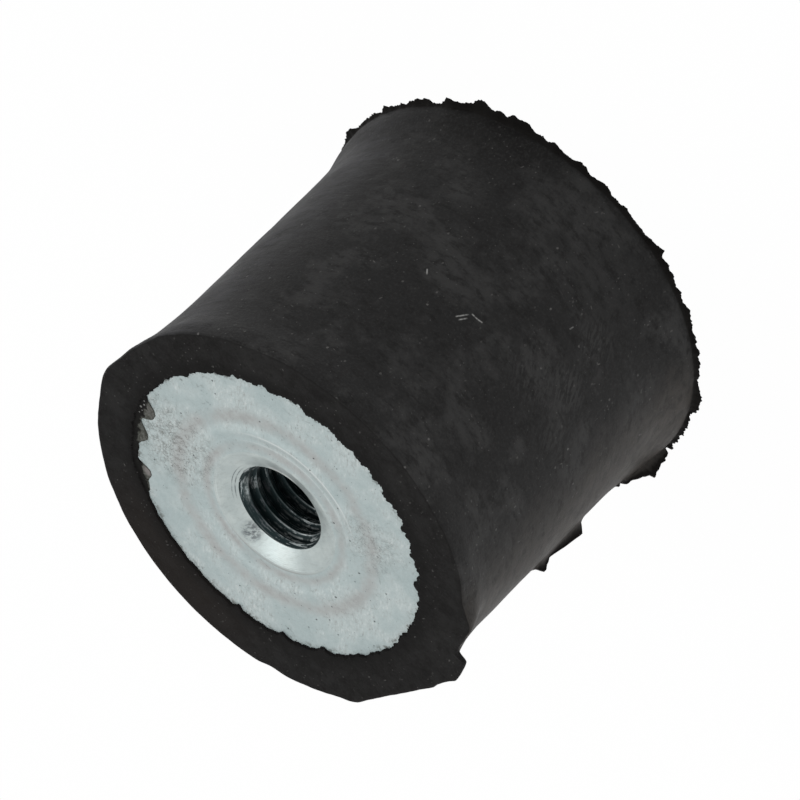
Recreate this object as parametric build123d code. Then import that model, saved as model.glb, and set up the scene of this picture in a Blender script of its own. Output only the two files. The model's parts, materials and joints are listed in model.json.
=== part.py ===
from build123d import *

import os
from math import cos, exp, radians, sin, tan

# A round rubber buffer with a threaded steel bush in each end.
# Sizes are in millimetres. The buffer stands on its lower end at z = 0, and +Z is the rubber's own axis.
# The end that faces the camera in the photograph is the upper one. Its flash, knife cut and torn skin are as found.

# Rubber body: flare_depth and then waist_depth say how far it draws in from the end radius
body_height = 22.5
end_radius = 12.5
flare_depth = 0.4
waist_depth = 0.2
land_height = 0.8
flare_height = 2.6
end_edge_break = 0.2

# Steel end plates, bonded in just under the skin of each end face
plate_cover = 1.5
plate_thickness = 2.0
plate_hole_radius = 4.15
coined_width = 1.35
coined_height = 0.1
coined_slope = 0.4

# Torn edges are made of three waves, given by how often each repeats in a turn
torn_waves = (7, 19, 31)

# Window in the rubber skin that leaves the plate bare
skin_thickness = 0.15
skin_overlap = 1.45
skin_tooth = 0.12
skin_points = 120

# Torn tongues of skin that reach in over the upper plate
tongue_angles = (11, 25, 44)
tongue_reach = 0.8
tongue_half_width = 2.8

# Threaded bushes, riveted into the plates from inside
thread_diameter = 6.0
thread_pitch = 1.0
bore_depth = 6.4
drill_tip_angle = 118
bush_floor = 0.6
bush_shoulder = 1.1
seam_width = 0.12
seam_depth = 0.08
dish_land = 0.2
dish_depth = 0.57
lip_radius = 2.8

# How far each insert and its window sit off the rubber's axis, towards +X
upper_insert_offset = 0.45
upper_window_offset = 0.3
lower_insert_offset = 0.0
lower_window_offset = 0.0

# Thin flash all round the lower rim
rim_flash_thickness = 0.2
rim_flash_reach = 0.2
rim_flash_ragged = 0.16
rim_flash_points = 96

# Flash left along the mould's parting line, on the -X side: a flap half way up and a ridge at the foot
fin_thickness = 0.3
fin_root = 0.6
flap_bottom = 8.2
flap_top = 12.5
flap_reach = 0.6
flap_neck_reach = 0.2
flap_corner = 0.5
flap_tag = 0.9
flap_tag_tip = 0.2
ridge_top = 4.3
ridge_step = 3.4
ridge_step_reach = 0.3
ridge_peak = 2.4
ridge_reach = 0.85
ridge_brow = 1.2
ridge_foot_reach = 0.45

# Knife cut across the upper rim, and the tab of flash that it missed
trim_angle = 164
trim_depth = 0.45
tab_start_angle = 184
tab_end_angle = 197
tab_corner_angle = 2.5
tab_reach = 0.6
tab_height = 0.4
tab_drop = 0.05

# Sizes that follow from the ones above
shoulder_radius = end_radius - flare_depth
waist_radius = shoulder_radius - waist_depth
plate_radius = end_radius - plate_cover
window_radius = plate_radius - skin_overlap
coined_radius = plate_hole_radius + coined_width
bush_radius = plate_hole_radius + bush_shoulder
dish_radius = plate_hole_radius - dish_land
tapping_radius = (thread_diameter - thread_pitch) / 2

# Heights in an insert, measured from the rubber's end face with Z pointing out of the rubber
plate_face = -skin_thickness
seat_face = plate_face - plate_thickness
coined_face = plate_face + coined_height
bore_end = plate_face - bore_depth
drill_tip = bore_end - tapping_radius / tan(radians(drill_tip_angle / 2))
bush_end = drill_tip - bush_floor


def polar(radius, angle):
    """A point of the XY plane, from its radius and its angle in degrees."""
    return (radius * cos(radians(angle)), radius * sin(radians(angle)))


def torn(angle, start):
    """A wave between about -1 and 1 that never quite repeats, for edges that tore."""
    waves = [sin(count * radians(angle) + order * start) for order, count in enumerate(torn_waves, 1)]
    return sum(waves) / len(waves)


def prism(points, thickness):
    """A prism that stands on the XY plane with the given outline."""
    with BuildPart() as solid:
        with BuildSketch(Plane.XY):
            with BuildLine():
                Polyline(*points, close=True)
            make_face()
        extrude(amount=thickness)
    return solid.part


def turned(outline):
    """A solid turned about Z from an outline in the XZ plane."""
    with BuildPart() as solid:
        with BuildSketch(Plane.XZ):
            add(outline)
            make_face()
        revolve(axis=Axis.Z)
    return solid.part


def end_plate():
    """Pressed disc with a raised ring round its hole and a fine seam towards the bush."""
    with BuildLine() as outline:
        Polyline(
            (plate_hole_radius, seat_face),
            (plate_radius, seat_face),
            (plate_radius, plate_face),
            (coined_radius + coined_slope, plate_face),
            (coined_radius, coined_face),
            (plate_hole_radius + seam_width / 2, coined_face),
            (plate_hole_radius, coined_face - seam_depth),
            close=True,
        )
    return turned(outline.line)


def bush_blank():
    """The bush before its mouth is dished and drilled: a closed body with a spigot through the plate."""
    with BuildLine() as outline:
        Polyline(
            (0, bush_end),
            (bush_radius, bush_end),
            (bush_radius, seat_face),
            (plate_hole_radius, seat_face),
            (plate_hole_radius, coined_face - seam_depth),
            (plate_hole_radius - seam_width / 2, coined_face),
            (0, coined_face),
            close=True,
        )
    return turned(outline.line)


def bush_bore():
    """The dished mouth, the thread's lead-in and the blind hole drilled to the tapping size."""
    lead_in_depth = lip_radius - tapping_radius
    with BuildLine() as outline:
        Polyline(
            (0, coined_face),
            (dish_radius, coined_face),
            (lip_radius, coined_face - dish_depth),
            (tapping_radius, coined_face - dish_depth - lead_in_depth),
            (tapping_radius, bore_end),
            (0, drill_tip),
            close=True,
        )
    return turned(outline.line)


def moulded_barrel():
    """The rubber as a full solid: straight lands, tapered flares and a waist drawn in as it cured."""
    land_top = body_height - land_height
    flare_top = body_height - flare_height
    edge_radius = end_radius - end_edge_break
    with BuildLine() as outline:
        ThreePointArc((shoulder_radius, flare_height), (waist_radius, body_height / 2), (shoulder_radius, flare_top))
        Polyline(
            (shoulder_radius, flare_top),
            (end_radius, land_top),
            (end_radius, body_height - end_edge_break),
            (edge_radius, body_height),
            (0, body_height),
            (0, 0),
            (edge_radius, 0),
            (end_radius, end_edge_break),
            (end_radius, land_height),
            (shoulder_radius, flare_height),
        )
    return turned(outline.line)


def tongue(angle):
    """How far the torn tongues reach over the plate at an angle."""
    return tongue_reach * sum(exp(-(((angle - middle) / tongue_half_width) ** 2)) for middle in tongue_angles)


def skin_window(start, tongues):
    """The space over a plate's bare face, with the toothed edge that the skin tore to."""
    points = []
    for step in range(skin_points):
        angle = 360 * step / skin_points
        radius = window_radius - skin_tooth * torn(angle, start)
        if tongues:
            radius -= tongue(angle)
        points.append(polar(radius, angle))
    return Pos(0, 0, plate_face) * prism(points, skin_thickness)


def rim_flash():
    """Paper-thin ring of flash with a torn edge, flush with the lower end face."""
    points = []
    for step in range(rim_flash_points):
        angle = 360 * step / rim_flash_points
        points.append(polar(end_radius + rim_flash_reach + rim_flash_ragged * torn(angle, 1), angle))
    return prism(points, rim_flash_thickness)


def parting_fin(points):
    """A flap of flash on the parting line, from an outline given as radius and height."""
    with BuildPart() as fin:
        with BuildSketch(Plane.XZ):
            with BuildLine():
                Polyline(*[(-radius, height) for radius, height in points], close=True)
            make_face()
        extrude(amount=fin_thickness / 2, both=True)
    return fin.part


def parting_flap():
    """Smooth flap half way up, widest at its lower corner, with a small tag above its neck."""
    return parting_fin(
        [
            (waist_radius - fin_root, flap_bottom),
            (waist_radius, flap_bottom),
            (waist_radius + flap_reach, flap_bottom + flap_corner),
            (waist_radius + flap_neck_reach, flap_top - flap_tag),
            (waist_radius + flap_reach, flap_top - flap_tag_tip),
            (waist_radius, flap_top),
            (waist_radius - fin_root, flap_top),
        ]
    )


def parting_ridge():
    """Ragged ridge that runs down the flared foot to the lower rim."""
    return parting_fin(
        [
            (waist_radius - fin_root, 0),
            (end_radius + ridge_foot_reach, 0),
            (shoulder_radius + ridge_reach, ridge_brow),
            (shoulder_radius + ridge_reach, ridge_peak),
            (shoulder_radius + ridge_step_reach, ridge_step),
            (shoulder_radius, ridge_top),
            (waist_radius - fin_root, ridge_top),
        ]
    )


def rim_tab():
    """Tab of flash that the knife missed on the upper rim."""
    points = [
        polar(shoulder_radius - fin_root, tab_start_angle),
        polar(end_radius, tab_start_angle - tab_corner_angle),
        polar(end_radius + tab_reach, tab_start_angle + tab_corner_angle),
        polar(end_radius + tab_reach, tab_end_angle - tab_corner_angle),
        polar(end_radius - end_edge_break, tab_end_angle),
        polar(shoulder_radius - fin_root, tab_end_angle),
    ]
    return Pos(0, 0, body_height - tab_drop - tab_height) * prism(points, tab_height)


def knife_cut():
    """The slice that the straight knife cut took off the upper rim."""
    slice_block = Box(trim_depth, 2 * end_radius, flare_height, align=(Align.MIN, Align.CENTER, Align.MAX))
    return Rot(Z=trim_angle) * Pos(end_radius - trim_depth, 0, body_height) * slice_block


def rubber_body(windows, inserts):
    """The one rubber moulding, formed round the plates and bushes."""
    body = moulded_barrel() - knife_cut()
    for flash in (rim_flash(), parting_flap(), parting_ridge(), rim_tab()):
        body += flash
    for hollow in windows + inserts:
        body -= hollow
    return body


upper_end = Pos(0, 0, body_height)
lower_end = Rot(X=180)
insert_places = {
    "upper": upper_end * Pos(upper_insert_offset, 0, 0),
    "lower": lower_end * Pos(lower_insert_offset, 0, 0),
}
windows = [
    upper_end * Pos(upper_window_offset, 0, 0) * skin_window(0, True),
    lower_end * Pos(lower_window_offset, 0, 0) * skin_window(2, False),
]
nodes = {}
inserts = []
for end, place in insert_places.items():
    plate = place * end_plate()
    blank = place * bush_blank()
    nodes[f"{end}_end_plate"] = plate
    nodes[f"{end}_threaded_bush"] = blank - place * bush_bore()
    inserts += [plate, blank]
nodes["rubber_body"] = rubber_body(windows, inserts)

os.makedirs("parts", exist_ok=True)
for name, solid in nodes.items():
    export_step(solid, f"parts/{name}.step")
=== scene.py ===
import json
from math import atan2, cos, pi, radians, sin
from types import SimpleNamespace

import bmesh
import bpy
import numpy as np
from mathutils import Matrix, Vector, noise


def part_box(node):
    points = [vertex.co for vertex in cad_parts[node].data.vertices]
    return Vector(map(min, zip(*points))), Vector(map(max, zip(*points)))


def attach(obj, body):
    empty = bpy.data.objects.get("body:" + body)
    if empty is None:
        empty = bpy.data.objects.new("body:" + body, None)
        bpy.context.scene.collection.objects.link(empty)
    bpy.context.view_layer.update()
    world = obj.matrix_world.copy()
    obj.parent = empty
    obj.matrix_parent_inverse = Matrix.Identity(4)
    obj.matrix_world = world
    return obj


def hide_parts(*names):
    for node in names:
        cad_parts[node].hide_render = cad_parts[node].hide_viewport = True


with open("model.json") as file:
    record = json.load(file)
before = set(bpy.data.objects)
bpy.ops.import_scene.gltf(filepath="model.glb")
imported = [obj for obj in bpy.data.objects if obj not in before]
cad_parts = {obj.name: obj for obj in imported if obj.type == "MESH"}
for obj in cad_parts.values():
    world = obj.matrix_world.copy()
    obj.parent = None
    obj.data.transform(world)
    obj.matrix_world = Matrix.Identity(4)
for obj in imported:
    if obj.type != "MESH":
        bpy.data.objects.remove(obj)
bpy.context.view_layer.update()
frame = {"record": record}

bl_info = {
    "name": "Rubber buffer",
    "version": (1, 0, 0),
    "blender": (4, 5, 0),
    "location": "3D View > Sidebar > Buffer",
    "description": "Round rubber buffer with a plate and a blind threaded bush in each end",
    "category": "Object",
}

# The buffer stands on its lower end at z = 0. Its parting line, with the flash, is on the -X side.
MM = 0.001
FULL_TURN = 360.0
PARTING_ANGLE = 180.0
PLATE_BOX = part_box("upper_end_plate")
BUSH_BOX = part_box("upper_threaded_bush")
BODY_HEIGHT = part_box("rubber_body")[1].z
PLATE_RADIUS = (PLATE_BOX[1].x - PLATE_BOX[0].x) / 2
BUSH_RADIUS = (BUSH_BOX[1].x - BUSH_BOX[0].x) / 2
ENDS = ("upper", "lower")
INSERT_X = {"upper": (PLATE_BOX[1].x + PLATE_BOX[0].x) / 2, "lower": 0.0}
THREAD = next(mount for mount in frame["record"]["mounts"] if mount["name"] == "upper_thread")
THREAD_CREST = THREAD["dims"]["r_mm"] * MM

# Heights in an insert, measured from the rubber's end face and pointing out of the rubber
COINED_FACE = PLATE_BOX[1].z - BODY_HEIGHT
SEAT_FACE = PLATE_BOX[0].z - BODY_HEIGHT
BUSH_END = BUSH_BOX[0].z - BODY_HEIGHT
UNDER_SEAM = COINED_FACE - 0.4 * MM

# The rubber's columns stand closer for this many degrees past the parting line, where the tab is
TAB_REGION = 20.0
TAB_COLUMNS = 42
REST_COLUMNS = 384

# How many fine columns go to a coarse one
FINE = 3

# Columns of a bush, and rows in each turn of its thread
BUSH_COLUMNS = 128
THREAD_ROWS = 22

# Flats of the thread, as shares of its pitch
CREST_FLAT = 0.32
ROOT_FLAT = 0.12

# Radius at which the side is unrolled
SIDE_RADIUS = 12.0 * MM


def number(name, value, description, unit="NONE"):
    """A plain number, such as a share, a strength or an angle in degrees."""
    return bpy.props.FloatProperty(name=name, description=description, default=value, unit=unit)


def length(name, millimetres, description):
    """A size that the sidebar shows as a length."""
    return number(name, millimetres * MM, description, "LENGTH")


def colour(name, value, description):
    """A linear colour."""
    return bpy.props.FloatVectorProperty(
        name=name, description=description, default=value, size=3, subtype="COLOR", min=0, max=1
    )


class BufferRubber(bpy.types.PropertyGroup):
    """Sizes of the rubber moulding and of what is torn or cut on it."""

    end_radius: length("End radius", 12.5, "Radius of the rubber at both ends")
    flare_depth: length("Flare depth", 0.6, "How far the waist draws in from the end radius")
    flare_length: length("Flare length", 2.05, "Distance from an end at which half the flare is left")
    flare_power: number("Flare power", 3.2, "How sharply the flare turns into the waist")
    unevenness: length("Unevenness", 0.016, "Height of the soft humps on the moulded side")
    rim_round: length("Rim rounding", 0.13, "Radius of the rounded rim")
    rim_wobble: length("Rim wobble", 0.03, "How far the trimmed rim wanders in and out")
    skin: length("Skin", 0.15, "Thickness of the rubber skin over a plate's edge")
    film: length("Film", 0.05, "Thickness of the torn film inside the skin's edge")
    window_radius: length("Window radius", 9.57, "Radius of the window that leaves a plate bare")
    window_offset: length("Window offset", 0.3, "How far the upper window sits off the axis")
    window_teeth: length("Window teeth", 0.34, "Depth of the torn teeth along the window")
    cut_angle: number("Cut angle", 161.5, "Direction that the knife cut faces, in degrees from +X")
    cut_radius: length("Cut radius", 12.12, "Distance of the knife cut from the axis")
    tab_thickness: length("Tab thickness", 0.4, "Thickness of the tab of flash beside the knife cut")
    tab_droop: length("Tab droop", 0.07, "How far the tab's edge hangs below the end face")
    fin_tip: length("Fin tip", 0.08, "Half thickness of a parting fin at its edge")
    fin_root: length("Fin root", 0.15, "Half thickness of a parting fin where it meets the side")
    flap_root: length("Flap root", 0.95, "Half width of the smooth root of the parting flap")
    parting_swell: length("Parting swell", 0.2, "How far the side swells at the top of the parting ridge")
    flash_thickness: length("Flash thickness", 0.14, "Thickness of the flash round the lower rim")
    flash_reach: length("Flash reach", 0.16, "Usual reach of the flash round the lower rim")
    flash_ragged: length("Flash raggedness", 0.2, "How far the torn edge of the flash comes and goes")


class BufferInsert(bpy.types.PropertyGroup):
    """Sizes of the steel plate and the threaded bush in one end."""

    hole_radius: length("Hole radius", 4.15, "Radius of the joint between plate and bush")
    ring_radius: length("Ring radius", 5.55, "Radius of the crest of the pressed ring")
    ring_width: length("Ring width", 0.26, "Half width of the rounded crest")
    ring_height: length("Ring height", 0.065, "Height of the crest over the pressed face")
    ring_foot: length("Ring foot", 6.2, "Radius where the pressed ring runs out into the plate")
    seam_width: length("Seam width", 0.12, "Half width of the seam round the bush")
    seam_depth: length("Seam depth", 0.0015, "Depth of the seam round the bush")
    plate_wave: length("Plate wave", 0.014, "Height of the soft unevenness of the plate")
    dish_radius: length("Dish radius", 3.98, "Radius where the dished mouth begins")
    mouth_radius: length("Mouth radius", 2.8, "Radius of the lip of the mouth")
    dish_depth: length("Dish depth", 0.57, "How far the lip lies below the pressed face")
    lead_in: number("Lead-in slope", 0.58, "How fast the lead-in below the lip narrows")
    thread_root: length("Thread root", 3.0, "Radius of the thread at the bottom of its grooves")
    thread_pitch: length("Thread pitch", 1.0, "Pitch of the thread")
    thread_length: length("Thread length", 4.9, "Length of the full thread below the lip")
    drill_end: length("Drill end", 7.6, "Depth of the drilled hole's tip below the lip")


class BufferColours(bpy.types.PropertyGroup):
    """Colours of the finishes."""

    rubber: colour("Rubber", (0.0190, 0.0187, 0.0186), "Moulded side of the rubber")
    rubber_face: colour("Rubber face", (0.0080, 0.0075, 0.0072), "End faces of the rubber")
    deep_black: colour("Deep black", (0.0035, 0.0032, 0.0030), "Darkest places of the rubber")
    face_brown: colour("Brownish face", (0.0145, 0.0112, 0.0095), "Brownish part of an end face")
    rubber_bloom: colour("Rubber bloom", (0.045, 0.0445, 0.044), "Pale patches on the side")
    # Painted sheen: a streaked bluish highlight along the +X side of the moulded side
    painted_blue_sheen: colour("Bluish rubber", (0.056, 0.056, 0.062), "Streaked bluish bloom on the +X side")
    # Painted sheen: a brownish highlight beside the parting line on -X
    painted_brown_sheen: colour("Brownish rubber", (0.073, 0.065, 0.058), "Brownish bloom beside the parting line")
    flash: colour("Flash", (0.0085, 0.0078, 0.0072), "Torn flash")
    dust: colour("Dust", (0.125, 0.122, 0.118), "Specks of dust")
    scratch: colour("Scratch", (0.30, 0.30, 0.29), "Short scratches on the side")
    film: colour("Film", (0.125, 0.129, 0.117), "Thin film of rubber over the plate")
    film_light: colour("Light film", (0.265, 0.245, 0.238), "Thinnest places of the film")
    film_edge: colour("Film edge", (0.050, 0.052, 0.044), "Dark mottling of the film")
    zinc: colour("Zinc", (0.372, 0.443, 0.446), "Zinc plating")
    zinc_light: colour("Light zinc", (0.462, 0.522, 0.520), "Pale patches in the plating")
    # Also used for the painted highlight on the crest and fold of the upper plate's pressed ring
    bright_zinc_and_highlight: colour("Bright zinc", (0.62, 0.65, 0.64), "Rubbed places of the plating")
    bush: colour("Bush", (0.395, 0.447, 0.442), "Zinc plating of the bush")
    bush_light: colour("Light bush", (0.465, 0.515, 0.505), "Pale patches in the bush's plating")
    zinc_stain: colour("Zinc stain", (0.378, 0.392, 0.386), "Brownish grey stain on the plating")
    # Also used for the painted shade in the fold of the upper plate's pressed ring
    joint: colour("Joint", (0.255, 0.245, 0.232), "Stained joint between plate and bush")
    crack: colour("Crack", (0.125, 0.122, 0.110), "Fine cracks in the plating")
    residue: colour("Residue", (0.060, 0.052, 0.040), "Traces of rubber along the window")
    pit: colour("Pit", (0.035, 0.038, 0.036), "Pits in the plating")
    # Colour of the painted glint on the lip of the mouth
    lip: colour("Lip", (0.9, 0.94, 0.92), "Bright place on the lip of the mouth")
    # Near-black flanks inside the thread: the oiled steel's own dark tone with painted shade of the deep bore
    # in it
    thread: colour("Thread", (0.014, 0.027, 0.029), "Oiled flanks inside the thread")
    thread_sheen: colour("Thread sheen", (0.062, 0.070, 0.078), "Less oiled places of the thread")
    # Colour of the painted highlights on the edges of the thread's crests
    thread_edge_highlight: colour("Thread edge", (0.52, 0.57, 0.57), "Bright edges of the thread's crests")
    floor: colour("Floor", (0.97, 0.97, 0.97), "Floor")


class BufferSettings(bpy.types.PropertyGroup):
    """All settings of the buffer."""

    rubber: bpy.props.PointerProperty(type=BufferRubber, name="Rubber", description="Sizes of the rubber")
    insert: bpy.props.PointerProperty(type=BufferInsert, name="Insert", description="Sizes of an insert")
    colours: bpy.props.PointerProperty(type=BufferColours, name="Colours", description="Finishes")


# Curves and noises


def hump(value, middle, half_width):
    """A smooth hump round a value, 1 at its middle."""
    return np.exp(-(((value - middle) / half_width) ** 2))


def ramp(value, start, stop):
    """A straight rise from 0 to 1 between two values, level outside them."""
    return np.clip((value - start) / (stop - start), 0, 1)


def turn_apart(angles, middle):
    """How far angles lie from another one, from half a turn before it to half a turn after it."""
    return (np.asarray(angles) - middle + FULL_TURN / 2) % FULL_TURN - FULL_TURN / 2


def bump(angles, middle, half_width):
    """A smooth hump round an angle, 1 at its middle."""
    return hump(turn_apart(angles, middle), 0.0, half_width)


def humps(angles, lobes):
    """The sum of several humps, each given as angle, size in millimetres and half width."""
    return sum(size * MM * bump(angles, middle, half_width) for middle, size, half_width in lobes)


def ragged(angles, teeth, seed):
    """Noise from -1 to 1 that closes after a turn, with about this many teeth."""
    radius = teeth / (2 * pi)
    places = ((radius * cos(radians(a)), radius * sin(radians(a)), seed) for a in angles)
    return np.array([2.2 * noise.noise(Vector(place)) for place in places]).clip(-1, 1)


def jagged(angles, teeth, seed):
    """Noise from 0 to 1 with sharp peaks that closes after a turn."""
    return (1 - np.abs(ragged(angles, teeth, seed))) ** 3


def lumps_at(points, roughness, spacing, octaves):
    """Noise of several octaves at each point."""
    return np.array([noise.fractal(Vector(point), roughness, spacing, octaves) for point in points])


def outline_reach(outline, places):
    """Reach of an outline at a height or an angle, straight between its points and none outside them."""
    at, reaches = zip(*outline)
    return np.interp(places, at, reaches, left=0, right=0) * MM


# Skins made of rings


def height_at(end, height):
    """World height of a level measured from an end face, pointing out of the rubber."""
    return BODY_HEIGHT + height if end == "upper" else -height


def ring(angles, radius, height, centre=0.0):
    """Points of a ring from its radius and height at each angle."""
    turn = np.radians(angles)
    across = centre + radius * np.cos(turn)
    along = radius * np.sin(turn)
    return np.column_stack([across, along, np.broadcast_to(height, across.shape)])


def pole(height, centre=0.0):
    """The single point that closes a skin on its axis."""
    return np.array([[centre, 0.0, height]])


def refine_angles(angles):
    """Angles at three times as many columns, where the last span closes the turn."""
    steps = (np.roll(angles, -1) - angles) % FULL_TURN
    return (angles[:, None] + steps[:, None] * np.arange(FINE) / FINE).reshape(-1)


def stitch(first, second, start, following):
    """Faces between two rings that start at the given indices, with equal, threefold or single columns."""
    if first == 1:
        return [(start, following + column, following + (column + 1) % second) for column in range(second)]
    if second == 1:
        return [(start + column, following, start + (column + 1) % first) for column in range(first)]
    faces = []
    for column in range(min(first, second)):
        after = (column + 1) % min(first, second)
        if first == second:
            faces.append((start + column, following + column, following + after, start + after))
        elif first < second:
            low = [following + (column * FINE + step) % second for step in range(FINE + 1)]
            faces.append((start + column, low[0], low[1]))
            faces.append((start + column, low[1], low[2], start + after))
            faces.append((start + after, low[2], low[3]))
        else:
            high = [start + (column * FINE + step) % first for step in range(FINE + 1)]
            faces.append((following + column, high[1], high[0]))
            faces.append((following + column, following + after, high[2], high[1]))
            faces.append((following + after, high[3], high[2]))
    return faces


def skin_mesh(name, rings, closed=False):
    """A mesh through rings in order. A closed one joins its last ring to its first."""
    counts = [len(points) for points in rings]
    starts = np.concatenate([[0], np.cumsum(counts)])
    pairs = [(row, row + 1) for row in range(len(rings) - 1)]
    if closed:
        pairs.append((len(rings) - 1, 0))
    faces = []
    for row, following in pairs:
        faces += stitch(counts[row], counts[following], int(starts[row]), int(starts[following]))
    mesh = bpy.data.meshes.new(name)
    mesh.from_pydata(np.concatenate(rings).tolist(), [], faces)
    return mesh


def outward(mesh):
    """Turns the faces of a closed mesh outwards."""
    work = bmesh.new()
    work.from_mesh(mesh)
    bmesh.ops.recalc_face_normals(work, faces=work.faces)
    work.to_mesh(mesh)
    work.free()


def finish_piece(name, mesh, material, nodes, sharp_angle=40):
    """Links a piece at the origin, shades it, and lets it stand for its nodes."""
    outward(mesh)
    mesh.materials.clear()
    mesh.materials.append(material)
    mesh.shade_smooth()
    mesh.set_sharp_from_angle(angle=radians(sharp_angle))
    piece = bpy.data.objects.new(name, mesh)
    bpy.context.scene.collection.objects.link(piece)
    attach(piece, "root")
    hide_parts(*nodes)
    return piece


# The rubber moulding

# Film torn in over the upper plate: angle, then reach inside the usual window radius in millimetres
FILM_OUTLINE = (
    (5.6, 0.0), (7.2, 0.33), (8.1, 0.65), (9.8, 0.87), (11.3, 0.94), (12.9, 0.88), (14.6, 0.74), (15.5, 0.52),
    (16.2, 0.26), (17.0, 0.12), (18.8, 0.25), (20.4, 0.46), (21.8, 0.66), (23.5, 0.78), (25.2, 0.79),
    (26.9, 0.63), (28.1, 0.39), (29.4, 0.15), (31.5, 0.17), (33.8, 0.06), (36.0, 0.0), (37.6, 0.0),
    (38.2, 0.14), (39.1, 0.41), (39.9, 0.64), (41.9, 0.77), (43.6, 0.73), (45.0, 0.54), (45.8, 0.36),
    (48.5, 0.32), (50.4, 0.22), (52.2, 0.0),
)

# Tab of flash on the upper rim: angle, then reach past the end radius in millimetres
TAB_OUTLINE = (
    (178.0, 0.0), (180.0, 0.12), (182.5, 0.34), (184.3, 0.58), (186.4, 0.57), (189.0, 0.53), (191.0, 0.50),
    (192.6, 0.45), (193.2, 0.26), (193.7, -0.06), (194.6, -0.18), (197.0, -0.17), (201.0, 0.0),
)

# Parting fins: height, then reach past the waist, in millimetres
FLAP_OUTLINE = (
    (8.15, 0.0), (8.3, 0.2), (8.7, 0.62), (10.1, 0.42), (11.0, 0.26), (11.45, 0.2), (11.7, 0.34),
    (11.95, 0.4), (12.1, 0.5), (12.3, 0.62), (12.42, 0.4), (12.55, 0.3), (12.65, 0.0),
)
RIDGE_OUTLINE = (
    (0.0, 0.18), (0.3, 0.4), (0.55, 0.36), (0.8, 0.44), (0.95, 0.4), (1.08, 0.64), (1.2, 0.56), (1.45, 0.6),
    (1.6, 0.74), (1.8, 0.8), (2.0, 0.8), (2.35, 0.98), (2.5, 0.72), (2.72, 0.66), (2.8, 0.52), (3.1, 0.5),
    (3.3, 0.42), (3.5, 0.3), (3.75, 0.28), (4.0, 0.32), (4.15, 0.22), (4.25, 0.06), (4.4, 0.0), (4.55, 0.16),
    (4.7, 0.0),
)

# Lobes of a torn or trimmed edge: angle, size in millimetres and half width
WINDOW_LOBES = (
    (5, -0.12, 6), (19, -0.22, 12), (38, -0.22, 12), (103, 0.3, 1.4), (122, 0.35, 1.6), (139, 0.35, 2.2),
    (212, 0.3, 1.6), (225, 0.14, 0.7), (236, 0.16, 0.9), (247, 0.12, 0.6), (262, 0.14, 0.8), (284, 0.1, 0.6),
    (318, 0.1, 0.8), (338, 0.06, 1.0),
)
RIM_LOBES = (
    (-8, -0.09, 12.0), (9.5, 0.25, 6.5), (100, 0.10, 45.0), (117, -0.15, 3.0), (143.0, 0.16, 4.0),
    (206.5, 0.36, 4.0), (216.0, -0.14, 4.5),
)
FLARE_LOBES = ((-9, -0.24, 8.0), (189.5, -0.33, 7.5), (200.5, -0.13, 4.5))
SIDE_LOBES = ((181, -0.08, 6.0), (-3, -0.05, 7.0))
TUCKED_LOBES = ((183, -0.16, 9.0),)
REAR_LOBES = (
    (189, 0.12, 3.5), (202, 0.35, 3.5), (206, 0.1, 1.5), (231, 0.25, 1.8), (244, 0.15, 2.5), (251, 0.35, 2.5),
    (271, 0.15, 2.0), (281, 0.15, 3.0), (287, 0.2, 1.8), (298, 0.55, 5.0), (304, 0.3, 3.5), (310, 0.6, 3.5),
    (316, 0.25, 3.0), (320.5, 0.2, 1.6), (331, 0.25, 3.0), (340, 0.15, 3.0), (348.5, 0.1, 1.5),
    (3, 0.15, 3.0),
)

# Where the side swells above the lower end, and is sunk below the upper one: distance and half width
SWELL_PLACE = (3.3, 1.5)
SUNK_PLACE = (5.5, 4)
TUCKED_PLACE = (3.0, 1.3)

# How far out across an end face each of its rings stands, from the window to the rim
FACE_STEPS = (0.08, 0.2, 0.34, 0.48, 0.62, 0.75, 0.86, 0.94)

# How much the rings of the upper rim's rounding look like the end face, from the face outwards
RIM_FACE_SHARES = (0.8, 0.5, 0.25, 0.1)

# How much the rings round the lower rim look like flash, from the side down
LOWER_FLASH_SHARES = (0.3, 0.45, 0.8, 1.0, 1.0, 1.0, 1.0, 1.0, 1.0)


def barrel_radius(rubber, height):
    """Radius of the moulded side, flared at both ends."""
    from_end = np.minimum(height, BODY_HEIGHT - height).clip(0, None)
    flare = rubber.flare_depth / (1 + (from_end / rubber.flare_length) ** rubber.flare_power)
    return rubber.end_radius - rubber.flare_depth + flare


def body_columns(rubber):
    """Angles of the body's columns, close together across the parting fins and the tab."""
    flank = np.linspace(rubber.fin_tip, rubber.fin_root, 5)
    growth = np.array([0.07, 0.16, 0.28, 0.42, 0.58]) * MM
    offsets = np.concatenate([[0, rubber.fin_tip / 2], flank, rubber.fin_root + growth])
    near = np.degrees(offsets / rubber.end_radius)
    beside_tab = np.linspace(near[-1], TAB_REGION, TAB_COLUMNS)[1:]
    rest = np.linspace(TAB_REGION, FULL_TURN - near[-1], REST_COLUMNS)[1:-1]
    after = PARTING_ANGLE + np.concatenate([near, beside_tab, rest])
    before = PARTING_ANGLE - near[1:][::-1]
    return np.concatenate([after, before + FULL_TURN]) % FULL_TURN


def from_parting(rubber, angles):
    """Distance round the side from the parting line."""
    return np.radians(np.abs(turn_apart(angles, PARTING_ANGLE))) * rubber.end_radius


def fin_rise(rubber, angles):
    """How far each column stands up on a parting fin, from 0 on the side to 1 at the fin's edge."""
    return ramp(from_parting(rubber, angles), rubber.fin_root, rubber.fin_tip)


def fin_skirt(rubber, angles, root):
    """A smooth swelling that carries a fin, 1 at the parting line and 0 at its root's edge."""
    return (1 - from_parting(rubber, angles) / root).clip(0, 1) ** 2


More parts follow.
